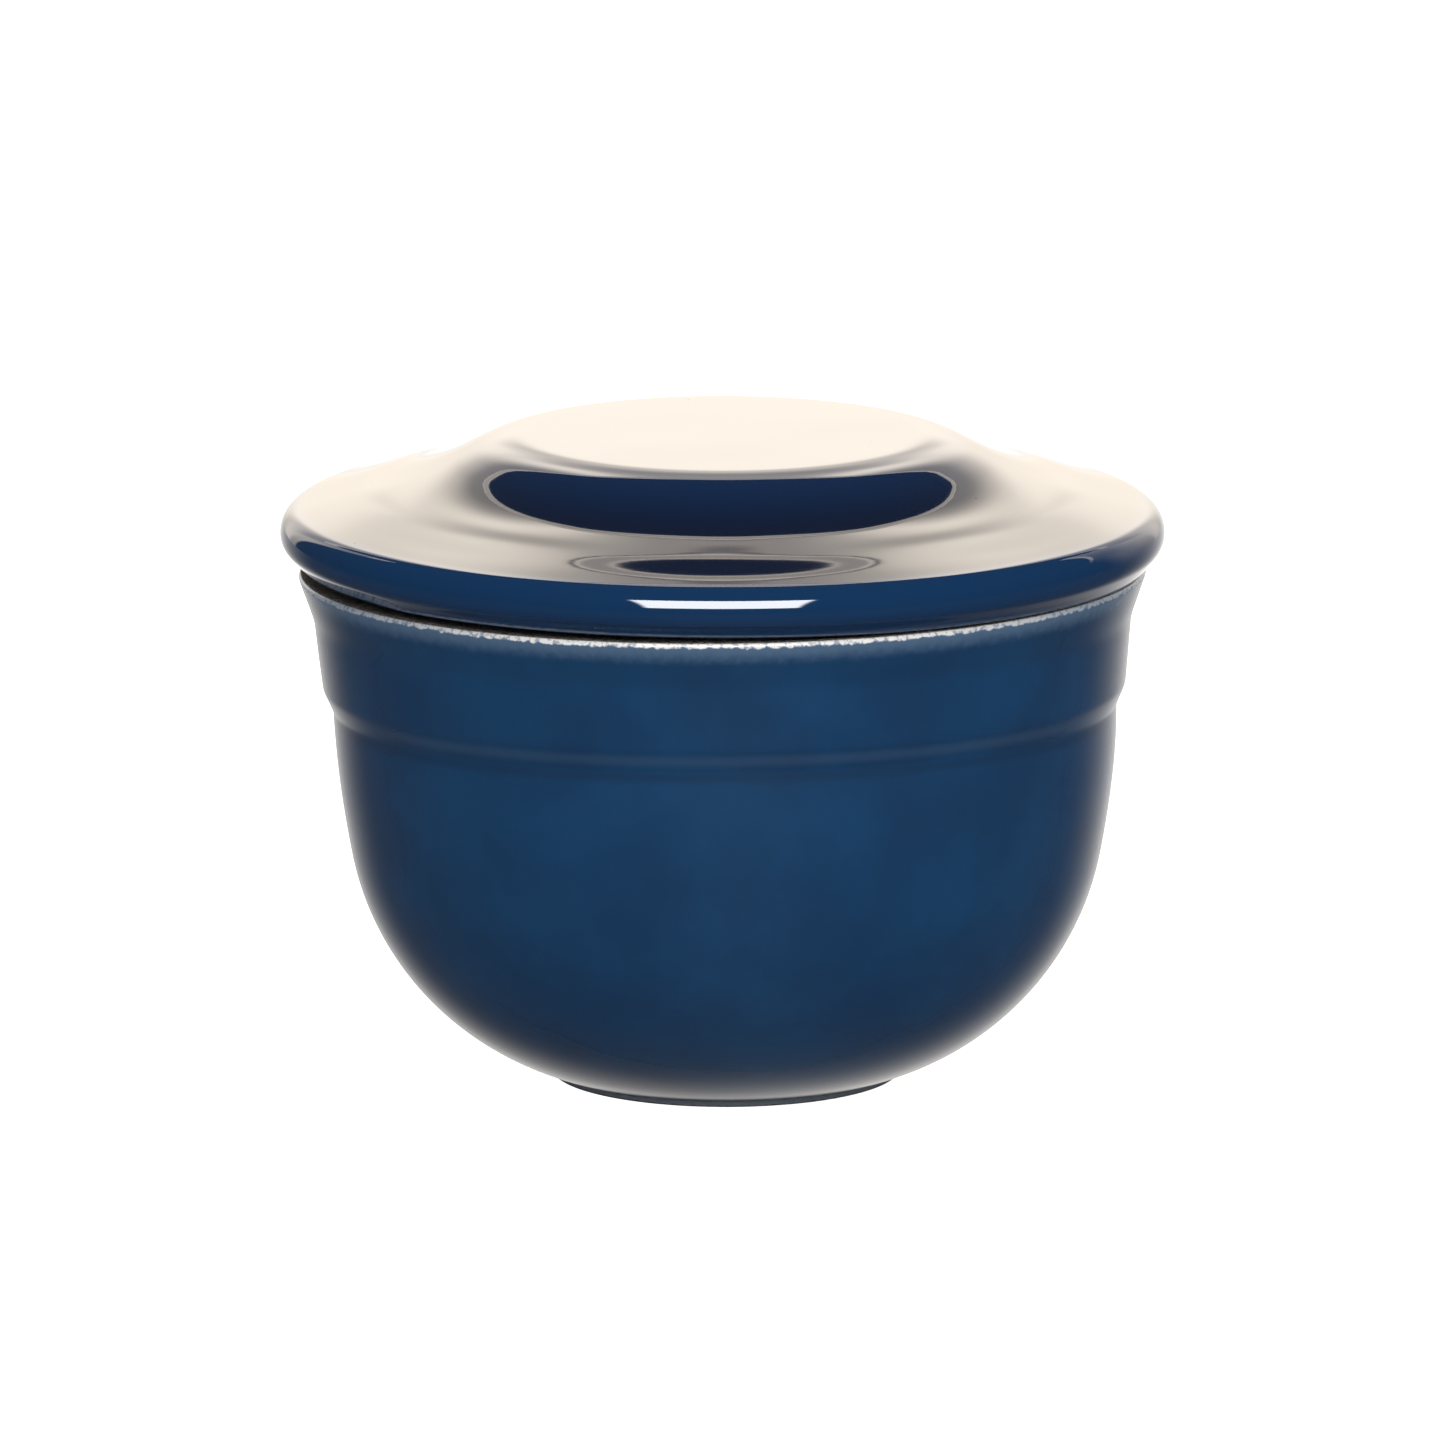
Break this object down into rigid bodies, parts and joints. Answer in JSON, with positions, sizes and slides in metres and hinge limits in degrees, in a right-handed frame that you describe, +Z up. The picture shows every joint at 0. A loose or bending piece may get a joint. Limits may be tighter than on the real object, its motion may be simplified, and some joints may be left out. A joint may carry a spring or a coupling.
{
  "type": "lidded bowl",
  "caption": "Round glazed stoneware bowl on a foot ring with a raised collar, closed by a loose wide-brimmed lid with a flat raised top.",
  "frame": {"origin": "centre of the foot ring, on the plane that the bowl stands on", "axes": "+Z up along the common axis of the bowl and lid; every direction across it is alike"},
  "size_m": [0.14, 0.14, 0.1031],
  "materials": {
    "bowl_glaze": "satin deep blue glaze over stoneware, bare sandy clay at the rim seat and the foot ring",
    "lid_glaze": "mirror-gloss deep blue glaze over stoneware, bare clay on the seat underneath"
  },
  "bodies": {
    "bowl": {"bowl": "bowl_glaze"},
    "lid": {"lid": "lid_glaze"}
  },
  "joints": [
    {"name": "lid_lift", "type": "slide", "parent": "bowl", "child": "lid", "axis": [0, 0, 1], "range_m": [0, 0.08]}
  ]
}
